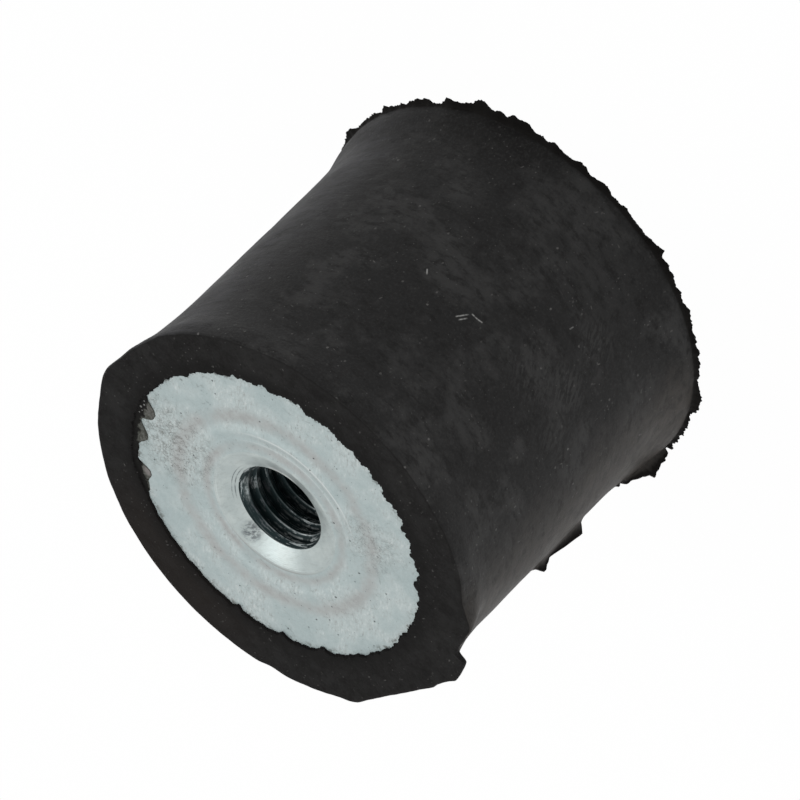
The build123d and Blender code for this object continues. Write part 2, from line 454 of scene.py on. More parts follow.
def rim_radius(rubber, angles):
    """Outline of the upper rim with its knife cut and the tab that the knife missed."""
    rim = rubber.end_radius + humps(angles, RIM_LOBES)
    facing = np.cos(np.radians(angles - rubber.cut_angle))
    steep = 0.5
    chord = np.where(facing > steep, rubber.cut_radius / facing.clip(steep, 1), 2 * rim)
    wobble = 0.65 * ragged(angles, 45, 71.0) + 0.35 * ragged(angles, 140, 72.0)
    return np.minimum(rim, chord) + outline_reach(TAB_OUTLINE, angles) + rubber.rim_wobble * wobble


def tab_hang(rubber, angles):
    """How far the tab hangs below the end face at each column."""
    return rubber.tab_droop * ramp(outline_reach(TAB_OUTLINE, angles), 0.0, 0.5 * MM)


def side_unevenness(rubber, angles, height):
    """Soft humps of the moulded side, none at its ends."""
    turn = np.radians(angles)
    rise = np.full_like(turn, 1.6 * height / rubber.end_radius)
    relief = lumps_at(3.1 * np.column_stack([np.cos(turn), np.sin(turn), rise]), 0.8, 2.1, 4)
    return rubber.unevenness * relief * min(1.0, min(height, BODY_HEIGHT - height) / MM)


def swell_and_dent(rubber, angles, height):
    """How far the side swells at the top of the parting ridge, and how far it is sunk below the upper rim."""
    depth = (BODY_HEIGHT - height) / MM
    swell = rubber.parting_swell * bump(angles, PARTING_ANGLE, 7.0) * hump(height / MM, *SWELL_PLACE)
    sunk = humps(angles, SIDE_LOBES) * hump(depth, *SUNK_PLACE)
    return swell, sunk + humps(angles, TUCKED_LOBES) * hump(depth, *TUCKED_PLACE)


def under_rim(rubber, angles, depth, radius):
    """The side's radius close below the upper rim, which hands its cut, its lobes and its tab on to it."""
    near_rim = hump(depth / MM, 0.0, 1.3)
    tab = outline_reach(TAB_OUTLINE, angles)
    in_tab = ramp(depth, rubber.tab_thickness, rubber.tab_thickness - 0.06 * MM)
    flared = hump(depth / MM, 1.1, 1.15) * min(1.0, depth / (0.5 * MM))
    shift = rim_radius(rubber, angles) - tab - rubber.end_radius
    lobes = humps(angles, FLARE_LOBES) * flared * np.where(tab > 0, 1 - in_tab, 1)
    bulged = radius + shift.clip(0, None) * near_rim + lobes
    held = np.minimum(bulged, rubber.end_radius + shift)
    return np.where(shift > 0, bulged, held) + tab * np.where(tab > 0, in_tab, hump(depth / MM, 0.0, 0.6))


def side_ring(rubber, angles, height):
    """One ring of the moulded side with everything that stands out of it or is cut off."""
    moulded = barrel_radius(rubber, height)
    swell, sunk = swell_and_dent(rubber, angles, height)
    radius = moulded + side_unevenness(rubber, angles, height) + swell + sunk
    if BODY_HEIGHT - height < 4.0 * MM:
        radius = under_rim(rubber, angles, BODY_HEIGHT - height, radius)
    flap = outline_reach(FLAP_OUTLINE, height / MM)
    ridge = outline_reach(RIDGE_OUTLINE, height / MM)
    if ridge > 0:
        waist = rubber.end_radius - rubber.flare_depth
        ridge = ridge + np.maximum(0.0, waist - moulded - swell)
    facets = 1 + 0.14 * noise.noise(Vector((0.0, 3.0, height / (0.3 * MM))))
    rise = fin_rise(rubber, angles)
    radius = radius + flap * np.maximum(rise, 0.85 * fin_skirt(rubber, angles, rubber.flap_root))
    radius = radius + ridge * facets * np.maximum(rise, 0.3 * fin_skirt(rubber, angles, 2 * rubber.fin_root))
    lean = 0.5 * noise.noise(Vector((7.0, 0.0, height / (0.6 * MM))))
    swing = lean * np.minimum(1, (flap + ridge) / MM) * rise
    return ring(angles + swing, radius, height)


def side_heights(rubber):
    """Heights of the side's rings from the upper rim down, closer together where flash needs them."""
    underside = BODY_HEIGHT - rubber.tab_thickness
    runs = [
        BODY_HEIGHT - np.array([0.16, 0.22, 0.29]) * MM,
        underside + np.array([0.062, 0.03, -0.002, -0.06, -0.16]) * MM,
        np.linspace(underside - 0.35 * MM, 18.8 * MM, 13),
        np.linspace(18.8 * MM, 12.9 * MM, 11)[1:],
        np.arange(12.75, 8.0, -0.14) * MM,
        np.linspace(8.0 * MM, 5.0 * MM, 7),
        np.arange(4.95, 0.5, -0.13) * MM,
    ]
    return np.concatenate(runs)


def window_edge(rubber, angles, end):
    """Torn edge of the skin's window."""
    seed = 3.0 if end == "upper" else 11.0
    teeth = 0.3 * ragged(angles, 60, seed) + 0.3 * ragged(angles, 150, seed + 1)
    teeth = teeth + 0.4 * jagged(angles, 330, seed + 2)
    sharp = 0.35 + 0.65 * bump(angles, 265, 85)
    edge = rubber.window_radius + 0.06 * MM - rubber.window_teeth * teeth * sharp
    if end == "upper":
        edge = edge - humps(angles, WINDOW_LOBES)
    return edge


def film_reach(rubber, angles, end, edge):
    """How far the torn film runs in past the skin's edge, and how much of a tongue it makes at each angle."""
    reach = (0.045 + 0.03 * ragged(angles, 200, 5.0)) * MM
    tongue = np.zeros_like(angles)
    if end == "upper":
        shifts = (-0.9, -0.45, 0, 0.45, 0.9)
        outline = np.mean([outline_reach(FILM_OUTLINE, angles + shift) for shift in shifts], axis=0)
        fringe = (0.02 * ragged(angles, 240, 8.0) + 0.02 * ragged(angles, 500, 9.0)) * MM
        wide = edge - rubber.window_radius - 0.04 * MM + outline + fringe
        tongue = ramp(outline, 0.02 * MM, 0.1 * MM)
        reach = np.where(outline > 0, np.maximum(reach, wide), reach)
    return reach, tongue


def window_rings(rubber, fine, end):
    """Rings from the film's edge out over the lip of the skin's window, each with its film value."""
    centre = window_x(rubber, end)
    plate_face = -rubber.skin
    edge = window_edge(rubber, fine, end)
    film, tongue = film_reach(rubber, fine, end, edge)
    brow = (0.09 + 0.05 * ragged(fine, 90, 15.0) + 0.04 * ragged(fine, 300, 16.0)) * MM
    lip = [
        (edge - film, plate_face, 0.5 * tongue),
        (edge - film + np.minimum(0.03 * MM, 0.2 * film), plate_face + 0.6 * rubber.film, 0.75 * tongue),
        (edge - film + np.minimum(0.11 * MM, 0.5 * film), plate_face + 0.9 * rubber.film, tongue),
        (edge - film * 0.4, plate_face + rubber.film, tongue),
        (edge - film * 0.15, plate_face + rubber.film * 1.1, 0.7 * tongue),
        (edge, plate_face + rubber.film * 1.3, 0.35 * tongue),
        (edge + 0.02 * MM, -0.4 * rubber.skin, 0.0),
        (edge + 0.02 * MM + 0.4 * brow, -0.08 * rubber.skin, 0.0),
        (edge + 0.04 * MM + 1.6 * brow, 0.0, 0.0),
    ]
    return [(ring(fine, radius, height, centre), value) for radius, height, value in lip]


def face_relief(points, share_out):
    """Lowers the points of a face ring by a soft unevenness, most in the middle of the face."""
    coarse = lumps_at(points / (1.1 * MM), 0.9, 2.0, 3)
    fade = min(1.0, 4 * share_out, 8 * (1 - share_out))
    points[:, 2] = np.minimum(points[:, 2] + 0.03 * MM * (coarse - 0.35) * fade, 0.0)
    return points


def end_rings(rubber, columns, end):
    """Rings of one end from the bottom of its cavity out over the face, each with its film value."""
    centre = INSERT_X[end]
    cavity = [
        (BUSH_RADIUS, BUSH_END),
        (BUSH_RADIUS, SEAT_FACE),
        (PLATE_RADIUS, SEAT_FACE),
        (PLATE_RADIUS, -rubber.skin),
    ]
    rows = [(pole(BUSH_END, centre), 0.0)]
    rows += [(ring(columns, radius, height, centre), 0.0) for radius, height in cavity]
    rows += window_rings(rubber, refine_angles(columns), end)
    inner = rows[-1][0][::FINE]
    outer_radius = np.full_like(columns, rubber.end_radius)
    droop = np.zeros_like(columns)
    if end == "upper":
        outer_radius = rim_radius(rubber, columns)
        droop = tab_hang(rubber, columns)
    outer = ring(columns, outer_radius - rubber.rim_round, 0.0)
    for step in FACE_STEPS:
        face = inner * (1 - step) + outer * step
        face[:, 2] -= droop * max(0.0, step - 0.8) / 0.2
        rows.append((face_relief(face, step), 0.0))
    return [(np.column_stack([points[:, :2], height_at(end, points[:, 2])]), value) for points, value in rows]


def rim_rings(rubber, columns):
    """Rounded upper rim."""
    rings = []
    for step in (0, 25, 50, 75):
        inset = rubber.rim_round * (1 - sin(radians(step)))
        drop = rubber.rim_round * (1 - cos(radians(step)))
        height = BODY_HEIGHT - drop - tab_hang(rubber, columns)
        rings.append(ring(columns, rim_radius(rubber, columns) - inset, height))
    return rings


def rear_flash_rings(rubber, columns):
    """Torn flash round the lower rim, from the side down and under to the lower face."""
    fine = refine_angles(columns)
    teeth = 0.35 * ragged(fine, 70, 21.0) + 0.65 * ragged(fine, 150, 22.0)
    teeth = teeth + 0.5 * jagged(fine, 300, 23.0) - 0.1
    reach = (rubber.flash_reach + rubber.flash_ragged * teeth + humps(fine, REAR_LOBES)).clip(0.03 * MM, None)
    curl = 0.12 * MM * ragged(fine, 40, 27.0).clip(0, 1)
    lumps = 0.05 * MM * ragged(fine, 75, 28.0) + 0.03 * MM * ragged(fine, 200, 29.0)
    ridge = outline_reach(RIDGE_OUTLINE, 0.3) * fin_rise(rubber, fine)
    thickness = rubber.flash_thickness
    # Share of the reach, height, and how much of the lumps and of the curl there is
    profile = (
        (0.0, 0.42 * MM, 0.2, 0.0),
        (0.02, 0.33 * MM, 0.7, 0.0),
        (0.10, 0.24 * MM, 1.0, 0.1),
        (0.35, 1.2 * thickness, 1.0, 0.35),
        (0.72, 0.9 * thickness, 0.6, 0.7),
        (1.0, 0.55 * thickness, 0.0, 1.0),
        (0.97, 0.2 * thickness, 0.0, 0.9),
        (0.5, 0.0, 0.0, 0.0),
        (-0.2, 0.0, 0.0, 0.0),
    )
    rings = []
    for share_out, height, lumpy, curling in profile:
        out = np.maximum(reach * share_out, ridge * max(share_out, 0))
        radius = rubber.end_radius + out + 0.5 * lumpy * lumps
        rings.append(ring(fine, radius, (height + curling * curl + lumpy * lumps).clip(0, None)))
    return rings


def side_flash(rubber, columns, height):
    """How far the side counts as flash at a height: on the fins, their roots and close to the lower rim."""
    rise = fin_rise(rubber, columns)
    skirt = 0.9 * fin_skirt(rubber, columns, rubber.flap_root) ** 0.6
    on_ridge = outline_reach(RIDGE_OUTLINE, height / MM) > 0
    on_flap = min(1.0, outline_reach(FLAP_OUTLINE, height / MM) / (0.3 * MM))
    flash = np.maximum(rise * on_ridge, np.maximum(0.9 * rise, skirt) * on_flap)
    return np.maximum(flash, 0.3 * max(0.0, 1 - height / (1.7 * MM)))


def rubber_mesh(rubber):
    """The one rubber moulding as a closed skin, with the values that its material reads."""
    columns = body_columns(rubber)
    near_tab = bump(columns, 191.0, 12.0)
    rows = []

    def extend(points, film=0.0, end_face=0.0, flash=0.0):
        rows.append((points, *[np.broadcast_to(value, len(points)) for value in (film, end_face, flash)]))

    for points, film in end_rings(rubber, columns, "upper"):
        extend(points, film=film, end_face=1.0)
    for points, face in zip(rim_rings(rubber, columns), RIM_FACE_SHARES):
        extend(points, end_face=np.maximum(face, near_tab))
    for height in side_heights(rubber):
        on_tab = near_tab * (BODY_HEIGHT - height < rubber.tab_thickness)
        flash = side_flash(rubber, columns, height)
        extend(side_ring(rubber, columns, height), end_face=on_tab, flash=flash)
    for points, flash in zip(rear_flash_rings(rubber, columns), LOWER_FLASH_SHARES):
        extend(points, flash=flash)
    for points, film in end_rings(rubber, columns, "lower")[::-1]:
        extend(points, film=film, end_face=1.0)

    points, *values = zip(*rows)
    mesh = skin_mesh("rubber_moulding", points)
    for name, value in zip(("film", "end_face", "flash"), values):
        stored = np.concatenate(value).astype(np.float32)
        mesh.attributes.new(name, "FLOAT", "POINT").data.foreach_set("value", stored)
    return mesh


# The steel inserts


def at_end(mesh, end):
    """Moves a mesh made in an insert's own frame, with its face at height 0, to its end of the buffer."""
    if end == "upper":
        mesh.transform(Matrix.Translation((INSERT_X[end], 0, BODY_HEIGHT)))
    else:
        mesh.transform(Matrix.Rotation(pi, 4, "X"))
    return mesh


def pressed_height(insert, rubber, radius):
    """Height of a plate's face at a radius: flat outside, a rounded crest, and a flat pressed ring inside."""
    plate_face = -rubber.skin
    slope = ramp(radius, insert.ring_foot, insert.ring_radius + insert.ring_width)
    smooth = slope * slope * (3 - 2 * slope)
    crest = insert.ring_height * hump(radius, insert.ring_radius, insert.ring_width)
    second = 0.3 * insert.ring_height * hump(radius, insert.ring_radius - 0.6 * MM, 0.18 * MM)
    hollow = 0.02 * MM * hump(radius, 4.72 * MM, 0.26 * MM)
    return plate_face + (COINED_FACE - plate_face - insert.ring_height) * smooth + crest + second - hollow


def plate_face_ring(rubber, insert, columns, radius, bare, seed):
    """One ring of a plate's face, sunk into the seam at its start and a little wavy farther out."""
    seam_end = insert.hole_radius + insert.seam_width
    level = pressed_height(insert, rubber, radius)
    level -= insert.seam_depth * ramp(radius, seam_end, insert.hole_radius) ** 1.5
    points = ring(columns, radius, level)
    wave = lumps_at(points / (2.2 * MM) + (0, 0, seed), 1.0, 2.0, 3)
    points[:, 2] += insert.plate_wave * (wave - 0.6) * ramp(radius, seam_end, seam_end + MM)
    points[:, 2] = np.minimum(points[:, 2], level if radius < bare else -rubber.skin)
    return points


def plate_mesh(rubber, insert, end):
    """Pressed disc with a rounded ring round its hole."""
    columns = np.arange(0, FULL_TURN, 1.0)
    seam_end = insert.hole_radius + insert.seam_width
    bare = rubber.window_radius + 0.6 * MM
    edge = 0.05 * MM
    radii = np.concatenate([
        insert.hole_radius + insert.seam_width * np.linspace(0, 1, 4),
        np.linspace(seam_end + edge, insert.ring_foot, 36),
        np.linspace(insert.ring_foot, bare, 26)[1:],
        [PLATE_RADIUS - edge],
    ])
    seed = 0.0 if end == "upper" else 40.0
    rings = [
        ring(columns, insert.hole_radius, SEAT_FACE),
        ring(columns, insert.hole_radius, UNDER_SEAM),
        *[plate_face_ring(rubber, insert, columns, radius, bare, seed) for radius in radii],
        ring(columns, PLATE_RADIUS, -rubber.skin - edge),
        ring(columns, PLATE_RADIUS, SEAT_FACE),
    ]
    return at_end(skin_mesh(f"{end}_plate", rings, closed=True), end)


def dish_rings(insert, columns, land_height):
    """The bush's face from its sharp lip up the dish and over its land into the seam."""
    lip_height = COINED_FACE - insert.dish_depth
    rings = []
    for step in np.linspace(0, 1, 17):
        radius = insert.mouth_radius + (insert.dish_radius - insert.mouth_radius) * step
        rise = (land_height - lip_height) * (0.86 * step + 0.14 * sin(step * pi / 2))
        rings.append(ring(columns, radius, lip_height + rise - 0.012 * MM * step ** 6))
    land = insert.hole_radius - insert.seam_width
    for step in np.linspace(0.2, 1, 4):
        rings.append(ring(columns, insert.dish_radius + (land - insert.dish_radius) * step, land_height))
    for step in np.linspace(0.25, 1, 4):
        radius = land + insert.seam_width * step
        rings.append(ring(columns, radius, land_height - insert.seam_depth * step ** 1.5))
    return rings


def bush_shell(rubber, insert):
    """The turned bush without its thread: dished face, spigot, body and the drilled tip of its bore."""
    columns = np.arange(BUSH_COLUMNS) * FULL_TURN / BUSH_COLUMNS
    clear = 0.004 * MM
    lip_height = COINED_FACE - insert.dish_depth
    outside = dish_rings(insert, columns, pressed_height(insert, rubber, insert.hole_radius))
    outside += [
        ring(columns, insert.hole_radius - clear, UNDER_SEAM),
        ring(columns, insert.hole_radius - clear, SEAT_FACE - clear),
        ring(columns, BUSH_RADIUS - clear, SEAT_FACE - clear),
        ring(columns, BUSH_RADIUS - clear, BUSH_END + clear),
        pole(BUSH_END + clear),
    ]
    drilled = [
        ring(columns, THREAD_CREST, lip_height - insert.thread_length - insert.thread_pitch),
        ring(columns, THREAD_CREST, lip_height - insert.drill_end + 1.5 * MM),
        pole(lip_height - insert.drill_end),
    ]
    shell = skin_mesh("bush_outside", outside)
    tip = skin_mesh("bush_tip", drilled)
    work = bmesh.new()
    work.from_mesh(shell)
    work.from_mesh(tip)
    work.to_mesh(shell)
    work.free()
    bpy.data.meshes.remove(tip)
    return shell


# Node trees


class Value:
    """A socket that is reckoned with like a number, where each step is a maths node in its tree."""

    def __init__(self, socket):
        self.socket = socket
        self.tree = socket.id_data

    def __add__(self, other):
        return maths("ADD", self, other)

    def __sub__(self, other):
        return maths("SUBTRACT", self, other)

    def __mul__(self, other):
        return maths("MULTIPLY", self, other)

    def __truediv__(self, other):
        return maths("DIVIDE", self, other)


def feed(node, inputs):
    """Sets a node's inputs to plain values or joins them to sockets."""
    for key, value in inputs.items():
        if isinstance(value, Value):
            value.tree.links.new(value.socket, node.inputs[key])
        else:
            node.inputs[key].default_value = value


def add_node(tree, kind, inputs, **settings):
    """A node with its settings made and its inputs fed."""
    node = tree.nodes.new(kind)
    for setting, value in settings.items():
        setattr(node, setting, value)
    feed(node, inputs)
    return node


def result(kind, inputs, output=0, **settings):
    """One output of a new node in the tree that its inputs come from."""
    tree = next(value.tree for value in inputs.values() if isinstance(value, Value))
    return Value(add_node(tree, kind, inputs, **settings).outputs[output])


def source(tree, kind, output=0, **settings):
    """One output of a new node without inputs."""
    return Value(add_node(tree, kind, {}, **settings).outputs[output])


def maths(operation, *values, clamp=False):
    """The result of a maths node."""
    return result("ShaderNodeMath", dict(enumerate(values)), operation=operation, use_clamp=clamp)


def largest(first, *others):
    """The largest of several values."""
    for other in others:
        first = maths("MAXIMUM", first, other)
    return first


def without(value):
    """1 where a value is 0, and 0 where it is 1."""
    return maths("SUBTRACT", 1.0, value, clamp=True)


def combined(**parts):
    """A vector from its X, Y and Z."""
    return result("ShaderNodeCombineXYZ", parts)


def separated(vector):
    """The X, Y and Z of a vector, by name."""
    node = add_node(vector.tree, "ShaderNodeSeparateXYZ", {0: vector})
    return {part.name: Value(part) for part in node.outputs}


def thread_inputs(tree):
    """Adds the thread's named inputs to its tree, and gives their identifiers and their values by name."""
    kinds = {"Geometry": "Geometry", "Segments": "Int", "Rows per Turn": "Int", "Material": "Material"}
    lengths = ("Crest Radius", "Root Radius", "Mouth Radius", "Lead-in", "Pitch", "Lip Height", "Length")
    kinds.update(dict.fromkeys(lengths, "Float"))
    identifiers = {}
    for name, kind in kinds.items():
        socket = tree.interface.new_socket(name, in_out="INPUT", socket_type=f"NodeSocket{kind}")
        identifiers[name] = socket.identifier
    given = tree.nodes.new("NodeGroupInput").outputs
    return identifiers, {name: Value(given[name]) for name in kinds}


def thread_tree():
    """Geometry nodes that cut a right-hand helical thread into the open mouth of a turned shell."""
    tree = bpy.data.node_groups.new("helical_thread", "GeometryNodeTree")
    identifiers, given = thread_inputs(tree)
    tree.interface.new_socket("Geometry", in_out="OUTPUT", socket_type="NodeSocketGeometry")

    turns = given["Length"] / given["Pitch"] + 2.0
    grid = add_node(tree, "GeometryNodeMeshGrid", {
        "Size X": 1.0,
        "Size Y": 1.0,
        "Vertices X": given["Segments"] + 1.0,
        "Vertices Y": maths("ROUND", turns * given["Rows per Turn"]) + 1.0,
    })
    place = separated(source(tree, "GeometryNodeInputPosition"))
    around = place["X"] + 0.5
    down = (place["Y"] + 0.5) * turns
    bottom = given["Length"] + given["Pitch"]
    depth = maths("MINIMUM", largest((down - around) * given["Pitch"], 0.0), bottom)

    flank = maths("ABSOLUTE", maths("FRACT", down) * 2.0 - 1.0)
    cut = maths("DIVIDE", flank - CREST_FLAT, 1 - CREST_FLAT - ROOT_FLAT, clamp=True)
    left = maths("DIVIDE", bottom - depth, given["Pitch"], clamp=True)
    groove = given["Root Radius"] - given["Crest Radius"]
    grooved = maths("MULTIPLY_ADD", cut * left, groove, given["Crest Radius"])
    opening = 2.0
    widest = maths("MULTIPLY_ADD", depth, opening, given["Mouth Radius"])
    lead_in = given["Mouth Radius"] - depth * given["Lead-in"]
    radius = maths("MINIMUM", largest(grooved, lead_in), widest)

    turn = around * (2 * pi)
    position = combined(
        X=radius * maths("COSINE", turn),
        Y=radius * maths("SINE", turn),
        Z=given["Lip Height"] - depth,
    )
    stored = result(
        "GeometryNodeStoreNamedAttribute",
        {"Geometry": Value(grid.outputs["Mesh"]), "Name": "thread", "Value": down + 1.0},
    )
    wall = result("GeometryNodeSetPosition", {"Geometry": stored, "Position": position})
    joined = tree.nodes.new("GeometryNodeJoinGeometry")
    tree.links.new(given["Geometry"].socket, joined.inputs[0])
    tree.links.new(wall.socket, joined.inputs[0])
    merge = {"Geometry": Value(joined.outputs[0]), "Distance": 0.002 * MM}
    realized = result("GeometryNodeRealizeInstances", {0: result("GeometryNodeMergeByDistance", merge)})
    painted = result("GeometryNodeSetMaterial", {"Geometry": realized, "Material": given["Material"]})
    feed(tree.nodes.new("NodeGroupOutput"), {0: painted})
    return tree, identifiers


def grown_mesh(base, tree, values, name):
    """The plain mesh that a node tree makes of a base mesh, with its inputs set by identifier."""
    carrier = bpy.data.objects.new(name + "_carrier", base)
    bpy.context.scene.collection.objects.link(carrier)
    modifier = carrier.modifiers.new("grown", "NODES")
    modifier.node_group = tree
    for identifier, value in values.items():
        modifier[identifier] = value
    bpy.context.view_layer.update()
    evaluated = carrier.evaluated_get(bpy.context.evaluated_depsgraph_get())
    mesh = bpy.data.meshes.new_from_object(evaluated)
    mesh.name = name
    carrier.modifiers.clear()
    bpy.data.objects.remove(carrier)
    bpy.data.meshes.remove(base)
    return mesh


def bush_mesh(rubber, insert, end, material, tree, identifiers):
    """A threaded bush in its place."""
    values = {
        "Crest Radius": THREAD_CREST,
        "Root Radius": insert.thread_root,
        "Mouth Radius": insert.mouth_radius,
        "Lead-in": insert.lead_in,
        "Pitch": insert.thread_pitch,
        "Lip Height": COINED_FACE - insert.dish_depth,
        "Length": insert.thread_length,
        "Segments": BUSH_COLUMNS,
        "Rows per Turn": THREAD_ROWS,
        "Material": material,
    }
    values = {identifiers[name]: value for name, value in values.items()}
    return at_end(grown_mesh(bush_shell(rubber, insert), tree, values, f"{end}_bush"), end)


# Patterns, with their sizes in millimetres

# Sockets of a mix node, which has one set for each kind of value
MIX_FACTOR = 0
MIX_VECTORS = (4, 5)
MIX_VECTOR_OUT = 1
MIX_COLOURS = (6, 7)
MIX_COLOUR_OUT = 2


def mix(factor, *paints):
    """A colour between two others."""
    paints = [paint if isinstance(paint, Value) else (*paint, 1.0) for paint in paints]
    inputs = {MIX_FACTOR: factor, **dict(zip(MIX_COLOURS, paints))}
    return result("ShaderNodeMix", inputs, MIX_COLOUR_OUT, data_type="RGBA")


def mix_vectors(factor, *vectors):
    """Coordinates between two others."""
    inputs = {MIX_FACTOR: factor, **dict(zip(MIX_VECTORS, vectors))}
    return result("ShaderNodeMix", inputs, MIX_VECTOR_OUT, data_type="VECTOR")


def coated(base, coats):
    """A colour under several coats, each given as its share and its colour."""
    for share, paint in coats:
        base = mix(share, base, paint)
    return base


def between(value, low, high, start=0.0, stop=1.0):
    """A value brought from one range to another, smoothly and within bounds."""
    inputs = {"Value": value, "From Min": low, "From Max": high, "To Min": start, "To Max": stop}
    return result("ShaderNodeMapRange", inputs, "Result", interpolation_type="SMOOTHSTEP")


def grain(where, size, detail=3.0, roughness=0.5):
    """Noise whose humps have the given size."""
    inputs = {"Vector": where, "Scale": 1 / (size * MM), "Detail": detail, "Roughness": roughness}
    return result("ShaderNodeTexNoise", inputs, "Fac")


def stretched(where, scale, place=(0, 0, 0)):
    """Coordinates scaled and moved to a place, for patterns that run one way or must differ."""
    place = [part * MM for part in place]
    return result("ShaderNodeMapping", {"Vector": where, "Location": place, "Scale": scale})


def turned_into(where, middle, direction):
    """Coordinates moved to a place and turned so that their first one runs in a direction."""
    inputs = {"Vector": where, "Location": middle, "Rotation": (0, 0, direction)}
    return result("ShaderNodeMapping", inputs, vector_type="TEXTURE")


def along(where, degrees, scale, shift=0.0):
    """Coordinates for a pattern that is drawn out in a direction."""
    return stretched(turned_into(where, (shift * MM, 0, 0), radians(degrees)), scale)


def distance(where, place):
    """Distance of coordinates from a place."""
    return result("ShaderNodeVectorMath", {0: where, 1: place}, "Value", operation="DISTANCE")


def radius_from(where, centre_x):
    """Distance in metres from an upright axis that stands at this X."""
    centred = stretched(where, (1, 1, 0), (-centre_x / MM, 0, 0))
    return result("ShaderNodeVectorMath", {0: centred}, "Value", operation="LENGTH")


def band(value, middle, half_width):
    """A smooth band round a value, 1 at its middle."""
    return between(maths("ABSOLUTE", value - middle), half_width, 0.0)


def ring_band(radius, middle, half_width):
    """A smooth ring, from its radius and half width."""
    return band(radius, middle * MM, half_width * MM)


def spot(where, turn, radius, size):
    """A round spot in an end face at an angle and a radius from the upper insert's axis."""
    centre = (INSERT_X["upper"] + radius * MM * cos(radians(turn)), radius * MM * sin(radians(turn)), 0)
    return between(distance(stretched(where, (1, 1, 0)), centre), size * MM, 0.35 * size * MM)


def specks(where, spacing, size, rarity):
    """Round specks, one at most in each cell of the given spacing, most cells left empty."""
    inputs = {"Vector": where, "Scale": 1 / (spacing * MM), "Randomness": 1.0}
    cells = add_node(where.tree, "ShaderNodeTexVoronoi", inputs, voronoi_dimensions="2D")
    near = between(Value(cells.outputs["Distance"]), size / spacing, 0.5 * size / spacing)
    cell = add_node(where.tree, "ShaderNodeSeparateColor", {0: Value(cells.outputs["Color"])})
    chosen = maths("GREATER_THAN", Value(cell.outputs[0]), rarity)
    return near * chosen * between(Value(cell.outputs[1]), 0.0, 1.0, 0.25, 1.0)


def cracks(where, spacing, width, warp):
    """Fine broken lines like crazing."""
    inputs = {"Vector": where, "Scale": 1 / (0.7 * spacing * MM), "Detail": 3.0}
    drift = result("ShaderNodeTexNoise", inputs, "Color")
    shift = result("ShaderNodeVectorMath", {0: drift, 1: [warp * MM] * 3}, operation="MULTIPLY")
    moved = result("ShaderNodeVectorMath", {0: where, 1: shift}, operation="ADD")
    inputs = {"Vector": moved, "Scale": 1 / (spacing * MM)}
    to_edge = result("ShaderNodeTexVoronoi", inputs, "Distance", feature="DISTANCE_TO_EDGE")
    return between(to_edge, width / spacing, 0.0)


def bumped(height, depth, normal=None):
    """A normal tilted by a height pattern that is this deep."""
    inputs = {"Height": height, "Distance": depth * MM, "Strength": 1.0}
    if normal is not None:
        inputs["Normal"] = normal
    return result("ShaderNodeBump", inputs)


def attribute(tree, name):
    """A value stored on the mesh."""
    return source(tree, "ShaderNodeAttribute", "Fac", attribute_name=name)


def new_material(name):
    """A new material, its principled shader, and its object coordinates."""
    material = bpy.data.materials.new(name)
    material.use_nodes = True
    tree = material.node_tree
    return material, tree.nodes["Principled BSDF"], source(tree, "ShaderNodeTexCoord", "Object")


def window_x(rubber, end):
    """Where the axis of an end's window stands."""
    return rubber.window_offset if end == "upper" else 0.0


# The rubber's finish

# Short scratches on the side: angle and height in millimetres of one end, then of the other
SCRATCHES = (
    ((275.2, 12.88), (273.2, 12.18)),
    ((274.1, 12.92), (272.7, 12.42)),
    ((272.7, 12.0), (270.6, 12.0)),
    ((270.6, 12.0), (269.1, 11.93)),
    ((251.35, 7.62), (251.12, 7.3)),
    ((289.7, 11.5), (288.6, 11.85)),
)

# Pale patches on the side, and dragged ones: angle, then height and size in millimetres, and strength
PALE_PATCHES = (
    (293, 9.3, 2.4, 0.8), (299.5, 5.5, 2.2, 0.8), (225.5, 9.6, 1.1, 0.8), (214, 5.5, 2.6, 0.5),
    (258, 4.0, 5.0, 0.5), (272, 17, 3.0, 0.3),
)
DRAGGED_PATCHES = ((250, 11.25, 2.8, 0.9), (240, 10.0, 2.6, 0.9), (244, 6.5, 2.6, 0.7), (232, 12, 2.4, 0.5))

# Spots in an end face: angle, then radius and size in millimetres
BROWN_FACE = (80, 11, 8)
THIN_FILM = (42, 8.85, 0.5)
LESS_THIN_FILM = (10, 8.9, 0.7)

# Pale beads on the film, given likewise
FILM_BEADS = ((7.6, 9.5, 0.065), (9.3, 9.4, 0.085), (11.2, 9.53, 0.1), (12.6, 9.38, 0.055), (14.3, 9.5, 0.06))


def side_place(turn, height):
    """Where a place of the side lies in its unrolled coordinates."""
    return Vector((radians(turn_apart(turn, 0.0)) * SIDE_RADIUS, height * MM, 0))


def unrolled(where):
    """Coordinates of the side laid flat: the distance round it, then the height."""
    parts = separated(where)
    return combined(X=maths("ARCTAN2", parts["Y"], parts["X"]) * SIDE_RADIUS, Y=parts["Z"])


def scratch(flat, start, end):
    """A short thin scratch between two places of the side, 1 inside it."""
    first, last = side_place(*start), side_place(*end)
    run = last - first
    parts = separated(turned_into(flat, (first + last) / 2, atan2(run.y, run.x)))
    width = 0.062 * MM
    inside = between(maths("ABSOLUTE", parts["X"]), 0.58 * run.length, 0.36 * run.length)
    return inside * between(maths("ABSOLUTE", parts["Y"]), width, 0.2 * width)


def patches_of(flat, patches):
    """Soft round patches on the side."""
    return largest(*[
        between(distance(flat, side_place(turn, height)), size * MM, 0.0, 0.0, strength)
        for turn, height, size, strength in patches
    ])


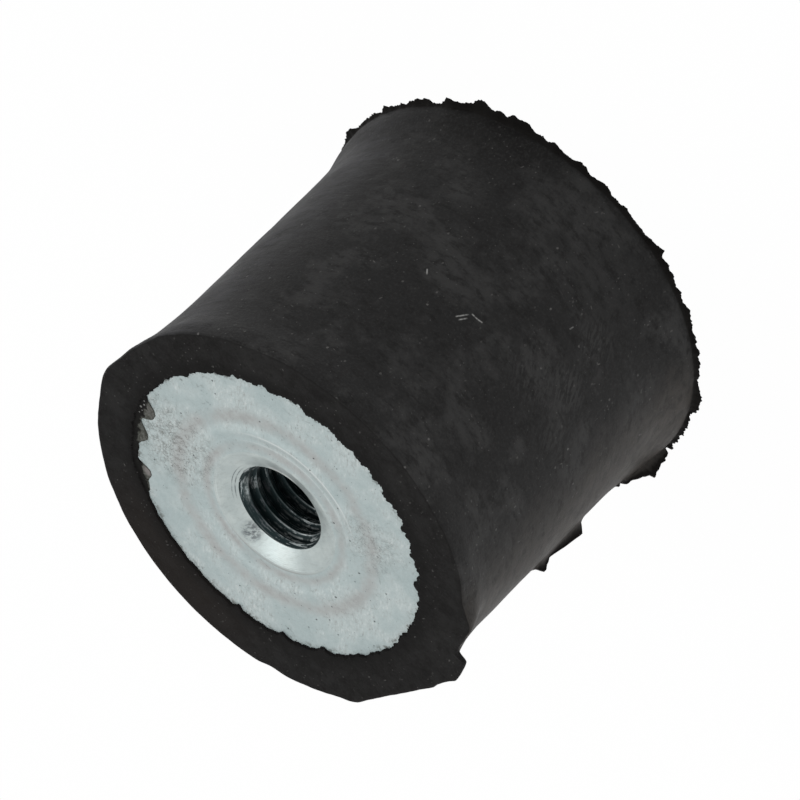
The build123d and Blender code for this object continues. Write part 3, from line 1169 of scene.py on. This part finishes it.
def rubber_patterns(where):
    """Coordinates, stored values and noises that the rubber's colours share."""
    flat = unrolled(where)
    end_face, flash, film = [attribute(where.tree, name) for name in ("end_face", "flash", "film")]
    on_end = maths("GREATER_THAN", end_face, 0.5)
    return SimpleNamespace(
        where=where,
        flat=flat,
        laid_out=mix_vectors(on_end, flat, where),
        end_face=end_face,
        on_end=on_end,
        flash=flash,
        film=film,
        cloud=grain(where, 3.4, 6.0, 0.66),
        drift=grain(stretched(where, (1, 1, 2.0), (3, 0, 0)), 1.0, 5.0, 0.66),
        lines=grain(stretched(where, (1, 1, 7)), 2.4, 6.0, 0.74),
        fine=grain(where, 0.16, 4.0, 0.7),
    )


def side_colour(colours, marks):
    """The moulded side: bloom in clouds and patches, a streaked bluish painted sheen and dark at the foot on
    +X, a brownish painted sheen on -X.
    """
    place = separated(marks.where)
    drag = grain(along(marks.flat, 129, (1, 5, 1)), 1.6, 3.0, 0.6)
    ripples = grain(along(marks.flat, 118, (1, 3.2, 1)), 0.75, 2.0, 0.5)
    bloom = between(marks.cloud, 0.46, 0.62) * between(marks.drift, 0.36, 0.6, 0.3, 0.8)
    pale = patches_of(marks.flat, PALE_PATCHES) * between(marks.drift, 0.4, 0.6, 0.3, 1.0)
    dragged = patches_of(marks.flat, DRAGGED_PATCHES) * between(largest(drag, ripples), 0.5, 0.6)
    # Painted sheen: a streaked bluish highlight along the +X silhouette
    bluish = between(place["X"], 9.2 * MM, 11.9 * MM, 0.0, 0.6) * between(marks.lines, 0.44, 0.6, 0.25, 1.0)
    # Painted sheen with a brownish tint, strongest toward the -X silhouette beside the parting line
    toward_parting = place["X"] + (marks.cloud - 0.5) * (4 * MM)
    brownish = between(toward_parting, -8.6 * MM, -12.2 * MM, 0.0, 0.6)
    dark_foot = between(place["Z"], 4.2 * MM, 0.8 * MM, 0.0, 0.6) * between(place["X"], 0.5 * MM, 6 * MM)
    return coated(mix(bloom, colours.rubber, colours.rubber_bloom), (
        (largest(pale, dragged), colours.rubber_bloom),
        (between(marks.drift, 0.48, 0.36, 0.0, 0.45), colours.rubber_face),
        (bluish, colours.painted_blue_sheen),
        (brownish * between(marks.drift, 0.36, 0.6, 0.5, 1.0), colours.painted_brown_sheen),
        (dark_foot, colours.rubber_face),
        (between(marks.fine, 0.46, 0.68, 0.0, 0.35), colours.rubber_bloom),
        (between(marks.fine, 0.4, 0.28, 0.0, 0.45), colours.rubber_face),
    ))


def face_colour(colours, marks, window):
    """The end faces: blacker than the side, brownish on one side and blackest beside the window."""
    beside_window = between(radius_from(marks.where, window), 10.9 * MM, 9.8 * MM, 0.0, 0.65)
    return coated(mix(between(marks.fine, 0.42, 0.7, 0.0, 0.55), colours.rubber_face, colours.rubber), (
        (between(marks.cloud, 0.48, 0.66, 0.0, 0.3), colours.rubber_bloom),
        (between(marks.drift, 0.46, 0.62, 0.0, 0.4), colours.rubber),
        (between(marks.drift, 0.46, 0.36, 0.0, 0.4), colours.deep_black),
        (spot(marks.where, *BROWN_FACE) * 0.6, colours.face_brown),
        (beside_window, colours.deep_black),
    ))


def dust(marks):
    """Share of dust: dashes in two directions and round specks, none on flash and film."""
    few = between(grain(marks.where, 1.7, 3.0, 0.6), 0.44, 0.6) * 0.8 * without(marks.flash)
    specked = largest(
        specks(along(marks.laid_out, 70, (1, 0.3, 1)), 0.8, 0.045, 0.72) * few,
        specks(along(marks.laid_out, 155, (1, 0.35, 1), 2), 1.0, 0.05, 0.75) * few,
        specks(marks.laid_out, 0.42, 0.045, 0.5) * few,
        specks(stretched(marks.laid_out, (1, 0.6, 1), (5, 0, 0)), 1.1, 0.07, 0.6) * few,
        specks(stretched(marks.laid_out, (1, 0.8, 1), (0, 7, 0)), 2.3, 0.085, 0.55),
    )
    clean = largest(marks.flash, marks.film)
    return specked * without(clean) * between(marks.fine, 0.38, 0.56, 0.15, 1.0)


def scratches(marks):
    """Share of the short scratches on the side."""
    scratched = largest(*[scratch(marks.flat, *ends) for ends in SCRATCHES])
    return scratched * without(marks.on_end) * between(marks.fine, 0.36, 0.58, 0.3, 1.0)


def film_colour(colours, marks, window):
    """The film over the plate: mottled grey, lightest where it is thinnest, with a torn dark border."""
    mottle = grain(marks.where, 0.2, 5.0, 0.75)
    torn = grain(stretched(marks.where, (1, 1, 0), (6, 0, 0)), 0.5, 3.0, 0.6)
    from_window = radius_from(marks.where, window) + (mottle * (0.5 * MM) + torn * MM)
    thin = largest(spot(marks.where, *THIN_FILM), spot(marks.where, *LESS_THIN_FILM) * 0.2)
    grey = mix(between(mottle, 0.4, 0.6), colours.film_edge, colours.film)
    grey = mix(thin * 0.75, grey, colours.film_light)
    grey = mix(between(marks.film, 0.5, 0.95), colours.film_edge, grey)
    return mix(between(from_window, 10.08 * MM, 10.2 * MM, 0.0, 0.95), grey, colours.deep_black)


def rubber_material(settings):
    """Dark satin rubber: its side, a duller end face, torn flash, dust, scratches and grey film."""
    colours = settings.colours
    window = window_x(settings.rubber, "upper")
    material, shader, where = new_material("black_rubber")
    marks = rubber_patterns(where)
    uneven = marks.drift - 0.5
    on_face = between(marks.end_face + uneven * 1.1, 0.3, 0.62)
    beads = largest(*[spot(where, *bead) for bead in FILM_BEADS])
    base = coated(side_colour(colours, marks), (
        (on_face, face_colour(colours, marks, window)),
        (between(marks.flash + uneven * 0.8, 0.2, 0.7), colours.flash),
        (dust(marks), colours.dust),
        (scratches(marks), colours.scratch),
        (between(marks.film, 0.12, 0.5), film_colour(colours, marks, window)),
        (beads * 0.75, colours.scratch),
    ))
    rough = between(marks.cloud, 0.3, 0.75, 0.46, 0.62) + on_face * 0.14
    feed(shader, {
        "Base Color": base,
        "Roughness": maths("ADD", rough, marks.flash * 0.2, clamp=True),
        "Normal": bumped(marks.fine, 0.014, bumped(marks.drift, 0.03, bumped(marks.lines, 0.018))),
        "Specular IOR Level": 0.06,
    })
    return material


# The plating's finish

# Rings on a plate and round a mouth: radius and half width in millimetres
STAINED_RINGS = ((4.6, 0.5), (6.6, 0.8))
# The bright crest and bright fold are painted highlights, and the shaded fold is painted shade
BRIGHT_CREST = (5.5, 0.11)
BRIGHT_FOLD = (4.95, 0.1)
SHADED_FOLD = (5.24, 0.2)
SCORED_ARCS = ((2.98, 0.05), (3.16, 0.04))
# Ring of the painted glint on the lip
LIP_GLINT_RING = (2.85, 0.5)

# Spots in an end face: angle, then radius and size in millimetres
JOINT_SPOT = (120, 4.15, 4.5)
WORN_SPOT = (18, 7.2, 4.0)
LESS_WORN_SPOT = (222, 6.8, 2.8)
# Side of the pressed ring that gets the painted highlight and painted shade
CREST_SPOT = (275, 5.4, 5.5)
SMUDGE = (87, 3.25, 0.85)
ARCS_SPOT = (20, 3.0, 1.9)
# Spot of the painted glint on the lip
LIP_GLINT_SPOT = (296, 3.0, 1.2)
# Walls of the bore that get the painted highlights and the painted smear of light on the crests
LIT_WALL = (178, 2.9, 4.6)
HIGHLIGHT_SMEAR_WALL = (8, 2.9, 2.9)

# Dark pits on the upper plate, given likewise
PLATE_PITS = (
    (165, 5.85, 0.1), (176, 8.1, 0.09), (245, 5.3, 0.08), (273, 5.55, 0.07), (101, 7.8, 0.07),
    (125, 8.85, 0.08), (329, 8.0, 0.07), (35, 8.3, 0.07), (150, 7.3, 0.07), (300, 8.8, 0.05),
)


def joint_line(insert, where, radius, patches):
    """Share of the stained joint between plate and bush, clearest at its lower left in the photograph."""
    clear = spot(where, *JOINT_SPOT) * between(patches, 0.3, 0.6, 0.3, 0.7)
    return band(radius, insert.hole_radius, 0.1 * MM) * clear


def crazing(where, worn, mottle):
    """Share of the cracks in worn plating and of a few long hairs."""
    return largest(
        cracks(where, 0.42, 0.035, 0.45) * worn,
        cracks(where, 0.22, 0.035, 0.2) * worn * 0.6,
        cracks(where, 1.7, 0.05, 1.2) * between(mottle, 0.54, 0.62, 0.0, 0.4),
    )


def plate_pits(where, end):
    """Share of the pits in the plating."""
    pits = largest(specks(where, 1.6, 0.075, 0.6), specks(where, 0.6, 0.035, 0.75))
    if end == "upper":
        pits = largest(pits, *[spot(where, *pit) for pit in PLATE_PITS])
    return pits


def plating_coats(colours, where, patches, fine):
    """Coats of light and stained grains, and of bright and dull strokes that run one way."""
    strokes = grain(along(where, 116, (0.45, 1.3, 1)), 0.19, 4.0, 0.7)
    in_patches = between(patches, 0.46, 0.6, 0.15, 1.0)
    return [
        (between(fine, 0.44, 0.64, 0.0, 0.5), colours.zinc_light),
        (between(fine, 0.46, 0.3, 0.0, 0.55), colours.zinc_stain),
        (between(strokes, 0.53, 0.64) * in_patches * 0.5, colours.bright_zinc_and_highlight),
        (between(strokes, 0.46, 0.34) * in_patches * 0.45, colours.joint),
    ]


def crest_coats(settings, where, radius, patches):
    """Coats that only the upper plate has: the lit edges and the shade of its pressed ring, and its joint."""
    colours = settings.colours
    lit = spot(where, *CREST_SPOT)
    return [
        # Painted highlight on the crest and fold of the pressed ring, and painted shade in the fold
        (ring_band(radius, *BRIGHT_CREST) * lit * 0.8, colours.bright_zinc_and_highlight),
        (ring_band(radius, *BRIGHT_FOLD) * lit * 0.4, colours.bright_zinc_and_highlight),
        (ring_band(radius, *SHADED_FOLD) * lit * 0.22, colours.joint),
        (joint_line(settings.insert, where, radius, patches), colours.joint),
    ]


def plate_material(settings, end):
    """Dull zinc plating: mottled blue-grey, brownish on the ring bands, with crazing and dark pits."""
    colours = settings.colours
    material, shader, where = new_material(f"zinc_plated_plate_{end}")
    radius = radius_from(where, INSERT_X[end])
    patches = grain(where, 2.6, 5.0, 0.62)
    mottle = grain(stretched(where, (1, 1, 1), (4, 1, 0)), 0.5, 4.0, 0.68)
    fine = grain(where, 0.11, 4.0, 0.75)
    worn = largest(
        spot(where, *WORN_SPOT),
        spot(where, *LESS_WORN_SPOT) * 0.6,
        between(patches, 0.54, 0.7, 0.0, 0.3),
    ) * between(mottle, 0.38, 0.6, 0.15, 1.0)
    bands = largest(*[ring_band(radius, *stain) for stain in STAINED_RINGS])
    stained = bands * between(patches, 0.34, 0.6, 0.35, 1.0) * between(mottle, 0.3, 0.6, 0.7, 1.0)
    lines = crazing(where, worn, mottle)
    at_window = between(radius_from(where, window_x(settings.rubber, end)), 9.05 * MM, 9.6 * MM)
    traces = at_window * between(largest(fine, mottle), 0.55, 0.63)
    pits = plate_pits(where, end)
    coats = plating_coats(colours, where, patches, fine) + [
        (stained, colours.zinc_stain),
        (lines * 0.7, colours.crack),
        (between(fine, 0.45, 0.36) * worn * 0.4, colours.bright_zinc_and_highlight),
        (between(fine, 0.55, 0.64) * (worn + 0.06) * 0.8, colours.crack),
    ]
    if end == "upper":
        coats += crest_coats(settings, where, radius, patches)
    coats += [(traces * 0.7, colours.residue), (pits * 0.85, colours.pit)]
    height = mottle * 0.7 + fine * 0.5 - largest(pits, lines) * 0.8
    feed(shader, {
        "Base Color": coated(mix(between(patches, 0.36, 0.66), colours.zinc, colours.zinc_light), coats),
        "Metallic": 0.75,
        "Roughness": between(mottle, 0.3, 0.7, 0.5, 0.66),
        "Normal": bumped(height, 0.022),
    })
    return material


def mouth_coats(settings, where, radius, patches, rubbed, broken):
    """Coats that only the upper bush has: its joint, a smudge, scored arcs and a painted glint on the lip."""
    colours = settings.colours
    smudge = spot(where, *SMUDGE) * between(rubbed, 0.42, 0.6, 0.15, 1.0)
    arcs = largest(*[ring_band(radius, *arc) for arc in SCORED_ARCS])
    arcs = arcs * spot(where, *ARCS_SPOT) * between(broken, 0.4, 0.6, 0.2, 0.8)
    return [
        (joint_line(settings.insert, where, radius, patches), colours.joint),
        (largest(smudge * 0.8, arcs), colours.thread_sheen),
        # Painted glint on the near edge of the lip
        (spot(where, *LIP_GLINT_SPOT) * ring_band(radius, *LIP_GLINT_RING), colours.lip),
    ]


def crest_edge_highlights(where, phase, streaks, broken):
    """Share of the painted highlights on the edges of the thread's crests, on the wall that the light
    reaches.
    """
    lit_wall = largest(spot(where, *LIT_WALL), 0.06)
    flank_lines = largest(band(phase, 0.07, 0.05), band(phase, 0.2, 0.05))
    # Painted highlights on the crest edges and on lines in the flanks
    edges = largest(
        band(phase, 0.5 - CREST_FLAT / 2, 0.05) * between(broken, 0.4, 0.55, 0.1, 1.0),
        band(phase, 0.5 + CREST_FLAT / 2, 0.045) * between(broken, 0.58, 0.46, 0.05, 0.8),
        flank_lines * between(broken, 0.56, 0.42, 0.1, 0.9),
    )
    edges = edges * lit_wall * between(streaks, 0.4, 0.54, 0.45, 1.0)
    return largest(edges, lit_wall * between(streaks, 0.57, 0.63, 0.0, 0.7))


def crest_highlight_smears(where, phase, streaks, broken):
    """Share of the smeared light on the crests at the left of the photograph's bore."""
    highlight_smear = largest(band(phase, 0.5, 0.24) * 0.75, between(streaks, 0.52, 0.6, 0.0, 0.6))
    highlight_smear = highlight_smear * between(streaks, 0.42, 0.56, 0.3, 1.0) * between(broken, 0.4, 0.58, 0.25, 1.0)
    return highlight_smear * spot(where, *HIGHLIGHT_SMEAR_WALL)


def thread_colour(settings, where, thread, threaded, broken):
    """The thread's wall: oiled and dark, partly as painted shade of the deep bore, with streaks that follow
    the helix and painted highlights on the crest edges.
    """
    colours = settings.colours
    phase = maths("FRACT", thread)
    place = separated(where)
    drawn_out = 0.12
    down = thread * settings.insert.thread_pitch
    helix = combined(X=place["X"] * drawn_out, Y=place["Y"] * drawn_out, Z=down)
    streaks = grain(helix, 0.085, 3.0, 0.65)
    # Painted highlights on the crest edges and a painted smear of light on the crests
    marks = largest(crest_edge_highlights(where, phase, streaks, broken), crest_highlight_smears(where, phase, streaks, broken))
    # The near-black wall is partly painted shade of the deep bore
    wall = mix(between(streaks, 0.54, 0.66), colours.thread, colours.thread_sheen)
    return mix(marks * threaded, wall, colours.thread_edge_highlight)


def bush_material(settings, end):
    """Satin zinc plating with turning marks, and a dark thread, partly painted shade, with painted highlights
    on its crest edges.
    """
    colours = settings.colours
    material, shader, where = new_material(f"zinc_plated_bush_{end}")
    radius = radius_from(where, INSERT_X[end])
    thread = attribute(where.tree, "thread")
    threaded = maths("GREATER_THAN", thread, 0.9)
    inside = largest(threaded, maths("LESS_THAN", radius, 2.6 * MM))
    patches = grain(where, 1.1, 4.0, 0.6)
    fine = grain(where, 0.085, 3.0, 0.7)
    broken = grain(stretched(where, (1, 1, 1), (2, 0, 0)), 0.6, 3.0, 0.6)
    rubbed = grain(along(where, 60, (0.25, 1, 1)), 0.16, 4.0, 0.7)
    coats = [
        (between(fine, 0.45, 0.65, 0.0, 0.25), colours.bush_light),
        (between(rubbed, 0.5, 0.36, 0.0, 0.12), colours.crack),
    ]
    if end == "upper":
        coats += mouth_coats(settings, where, radius, patches, rubbed, broken)
    coats.append((inside, thread_colour(settings, where, thread, threaded, broken)))
    turning = maths("SINE", radius * (2 * pi / (0.11 * MM)))
    feed(shader, {
        "Base Color": coated(mix(between(patches, 0.38, 0.66), colours.bush, colours.bush_light), coats),
        "Specular IOR Level": 0.2,
        "Metallic": between(inside, 0.0, 1.0, 0.85, 0.5),
        "Roughness": between(patches, 0.3, 0.7, 0.3, 0.42),
        "Normal": bumped(rubbed, 0.012, bumped(turning * 0.15 + fine, 0.008)),
    })
    return material


# The stage

# Soft lights: azimuth and elevation in degrees, distance and sides in metres, and power
SOFTBOXES = {
    "top_softbox": (32, 66, 0.30, (0.09, 0.10), 0.105),
    "left_softbox": (172, 12, 0.26, (0.10, 0.22), 0.15),
    "right_softbox": (20, 20, 0.30, (0.06, 0.22), 0.06),
}
WORLD_LEVEL = 0.67
FLOOR_RADII = (0.05, 1.2)
FLOOR_HEIGHT = -0.02 * MM


def background_share(tree):
    """1 for rays that show the background to the camera, also in metal."""
    path = tree.nodes.new("ShaderNodeLightPath").outputs
    return largest(*[Value(path[f"Is {kind} Ray"]) for kind in ("Camera", "Glossy", "Transmission")])


def floor_material(colours):
    """Pale floor that shows white to the camera and keeps a soft shadow."""
    material, shader, _ = new_material("pale_floor")
    tree = material.node_tree
    feed(shader, {"Base Color": (*colours.floor, 1.0), "Roughness": 0.9, "Specular IOR Level": 0.0})
    white = add_node(tree, "ShaderNodeEmission", {"Color": (1, 1, 1, 1), "Strength": 1.0})
    blend = {0: background_share(tree) * 0.98, 1: Value(shader.outputs[0]), 2: Value(white.outputs[0])}
    feed(tree.nodes["Material Output"], {"Surface": result("ShaderNodeMixShader", blend)})
    return material


def white_world(level):
    """Even light of the given level, white to the camera and in metal."""
    world = bpy.data.worlds.new("plain_studio")
    bpy.context.scene.world = world
    world.use_nodes = True
    strength = largest(background_share(world.node_tree), level)
    feed(world.node_tree.nodes["Background"], {"Color": (1, 1, 1, 1), "Strength": strength})


def softbox(name, azimuth, elevation, distance, size, power):
    """A rectangular soft light that looks at the middle of the buffer."""
    light = bpy.data.lights.new(name, "AREA")
    light.shape = "RECTANGLE"
    light.size, light.size_y = size
    light.energy = power
    lamp = bpy.data.objects.new(name, light)
    out = Vector((
        cos(radians(azimuth)) * cos(radians(elevation)),
        sin(radians(azimuth)) * cos(radians(elevation)),
        sin(radians(elevation)),
    ))
    lamp.location = Vector((0, 0, BODY_HEIGHT / 2)) + out * distance
    lamp.rotation_euler = out.to_track_quat("Z", "Y").to_euler()
    bpy.context.scene.collection.objects.link(lamp)


def photo_camera():
    """Camera at the photograph's angle: above the end face and rolled."""
    elevation = radians(35.0)
    roll = radians(-134.85)
    distance = 0.350
    aim = Vector((0, -5.4 * MM, 14.85 * MM))
    back = Vector((0, -cos(elevation), sin(elevation)))
    level_right = Vector((1, 0, 0))
    level_up = back.cross(level_right)
    right = cos(roll) * level_right + sin(roll) * level_up
    up = back.cross(right)
    camera = bpy.data.objects.new("photo_camera", bpy.data.cameras.new("photo_camera"))
    camera.data.sensor_width = 36
    camera.data.lens = 287.64
    camera.data.clip_start = 0.01
    turned = Matrix((right, up, back)).transposed().to_4x4()
    camera.matrix_world = Matrix.Translation(aim + distance * back) @ turned
    bpy.context.scene.collection.objects.link(camera)
    bpy.context.scene.camera = camera


class BUFFER_OT_rubber(bpy.types.Operator):
    """Make the rubber moulding"""

    bl_idname = "buffer.rubber"
    bl_label = "Rubber moulding"

    def execute(self, context):
        settings = context.scene.rubber_buffer
        mesh = rubber_mesh(settings.rubber)
        finish_piece("rubber_moulding", mesh, rubber_material(settings), ["rubber_body"])
        return {"FINISHED"}


class BUFFER_OT_plates(bpy.types.Operator):
    """Make the two pressed end plates"""

    bl_idname = "buffer.plates"
    bl_label = "End plates"

    def execute(self, context):
        settings = context.scene.rubber_buffer
        for end in ENDS:
            mesh = plate_mesh(settings.rubber, settings.insert, end)
            material = plate_material(settings, end)
            finish_piece(f"{end}_plate", mesh, material, [f"{end}_end_plate"])
        return {"FINISHED"}


class BUFFER_OT_bushes(bpy.types.Operator):
    """Make the two threaded bushes"""

    bl_idname = "buffer.bushes"
    bl_label = "Threaded bushes"

    def execute(self, context):
        settings = context.scene.rubber_buffer
        tree, identifiers = thread_tree()
        for end in ENDS:
            material = bush_material(settings, end)
            mesh = bush_mesh(settings.rubber, settings.insert, end, material, tree, identifiers)
            node = f"{end}_threaded_bush"
            finish_piece(f"{end}_bush", mesh, material, [node], sharp_angle=28)
        return {"FINISHED"}


class BUFFER_OT_stage(bpy.types.Operator):
    """Set up the floor, the lights and the camera"""

    bl_idname = "buffer.stage"
    bl_label = "Stage"

    def execute(self, context):
        settings = context.scene.rubber_buffer
        columns = np.arange(0, FULL_TURN, 5.0)
        mesh = skin_mesh("floor", [pole(0.0), *[ring(columns, radius, 0.0) for radius in FLOOR_RADII]])
        mesh.transform(Matrix.Translation((0, 0, FLOOR_HEIGHT)))
        mesh.materials.append(floor_material(settings.colours))
        floor = bpy.data.objects.new("floor", mesh)
        context.scene.collection.objects.link(floor)
        white_world(WORLD_LEVEL)
        for name, light in SOFTBOXES.items():
            softbox(name, *light)
        photo_camera()
        context.scene.view_settings.view_transform = "Standard"
        return {"FINISHED"}


class BUFFER_PT_panel(bpy.types.Panel):
    """Lists the steps that make the buffer"""

    bl_idname = "BUFFER_PT_panel"
    bl_label = "Rubber buffer"
    bl_space_type = "VIEW_3D"
    bl_region_type = "UI"
    bl_category = "Buffer"

    def draw(self, context):
        for step in STEPS:
            self.layout.operator(step.bl_idname)


STEPS = (BUFFER_OT_rubber, BUFFER_OT_plates, BUFFER_OT_bushes, BUFFER_OT_stage)
GROUPS = (BufferRubber, BufferInsert, BufferColours, BufferSettings)


def register():
    for kind in GROUPS + STEPS + (BUFFER_PT_panel,):
        bpy.utils.register_class(kind)
    bpy.types.Scene.rubber_buffer = bpy.props.PointerProperty(type=BufferSettings)


def unregister():
    del bpy.types.Scene.rubber_buffer
    for kind in reversed(GROUPS + STEPS + (BUFFER_PT_panel,)):
        bpy.utils.unregister_class(kind)


def main():
    """Makes the whole buffer and its stage."""
    register()
    bpy.ops.buffer.rubber()
    bpy.ops.buffer.plates()
    bpy.ops.buffer.bushes()
    bpy.ops.buffer.stage()


if __name__ == "__main__":
    main()
